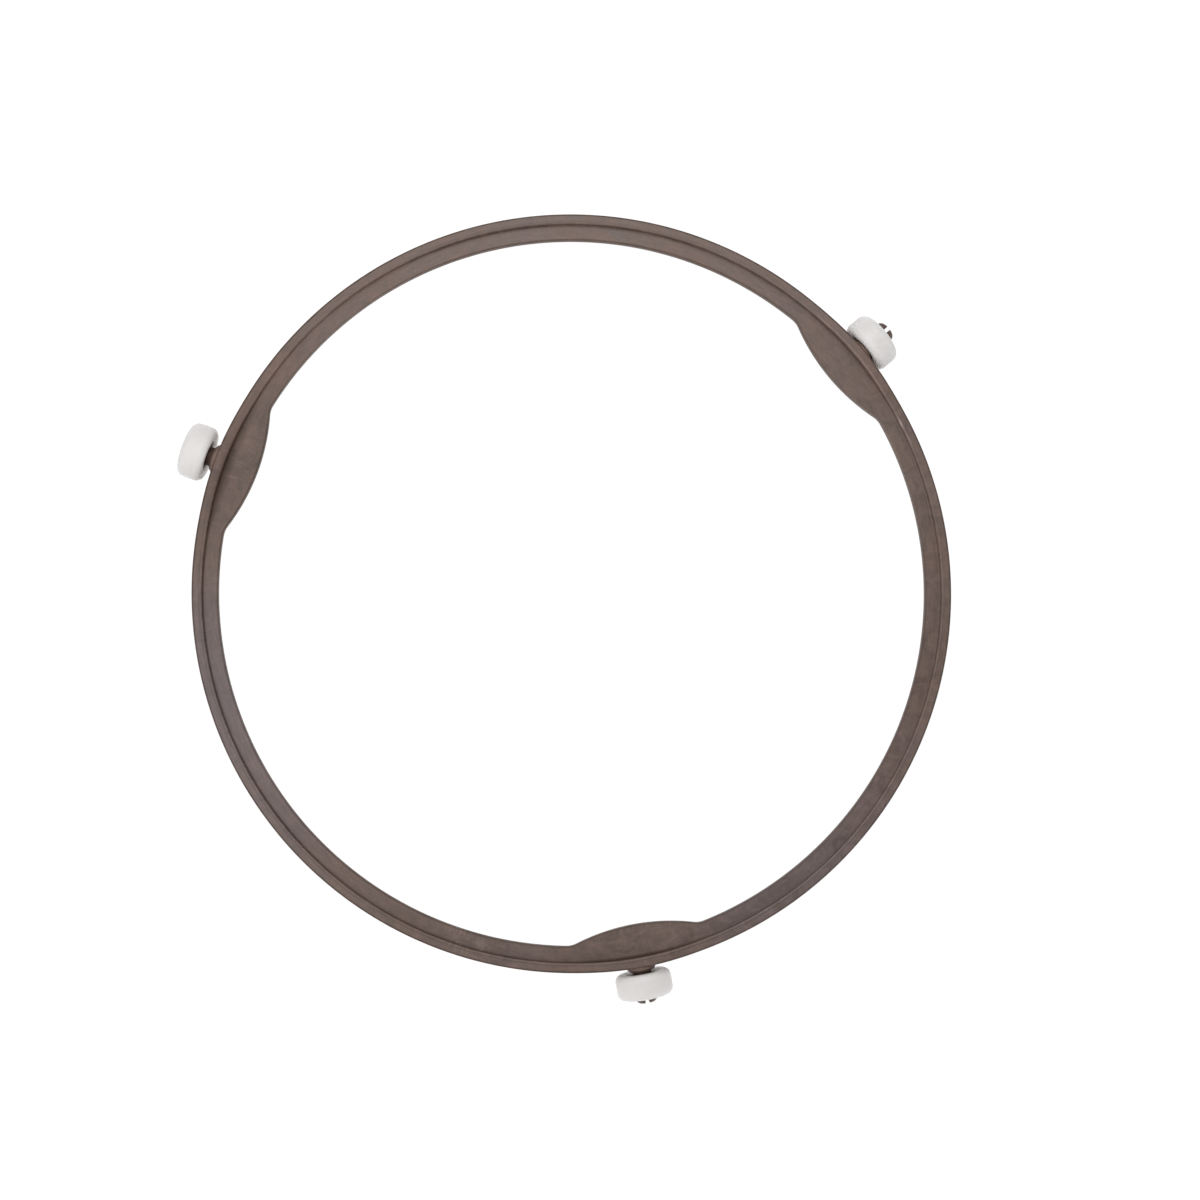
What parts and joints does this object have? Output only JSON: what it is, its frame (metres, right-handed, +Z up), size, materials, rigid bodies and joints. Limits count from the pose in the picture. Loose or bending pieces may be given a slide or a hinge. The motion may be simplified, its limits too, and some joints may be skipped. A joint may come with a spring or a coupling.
{
  "type": "microwave roller ring",
  "caption": "Moulded plastic ring with stub axles round its outside, each carrying a snap-fit roller, that bears the glass tray of a microwave oven on its track.",
  "frame": {"origin": "on the ring's axis, in the plane of the floor that the rollers stand on", "axes": "+Z up along the ring's axis, -Y along the front roller's axle, +X to the right"},
  "size_m": [0.185, 0.1939, 0.0136],
  "materials": {
    "ring_plastic": "grey-brown moulded plastic, satin, with faint flow marks",
    "roller_plastic": "white moulded plastic, soft satin"
  },
  "bodies": {
    "ring": {"ring_frame": "ring_plastic"},
    "right_roller": {"roller_right": "roller_plastic"},
    "left_roller": {"roller_left": "roller_plastic"},
    "front_roller": {"roller_front": "roller_plastic"}
  },
  "joints": [
    {"name": "right_roller_spin", "type": "hinge", "parent": "ring", "child": "right_roller", "pos_m": [0.08314, 0.048, 0.0068], "axis": [0.866, 0.5, 0], "continuous": true},
    {"name": "left_roller_spin", "type": "hinge", "parent": "ring", "child": "left_roller", "pos_m": [-0.08314, 0.048, 0.0068], "axis": [-0.866, 0.5, 0], "continuous": true},
    {"name": "front_roller_spin", "type": "hinge", "parent": "ring", "child": "front_roller", "pos_m": [0, -0.096, 0.0068], "axis": [0, -1, 0], "continuous": true}
  ]
}
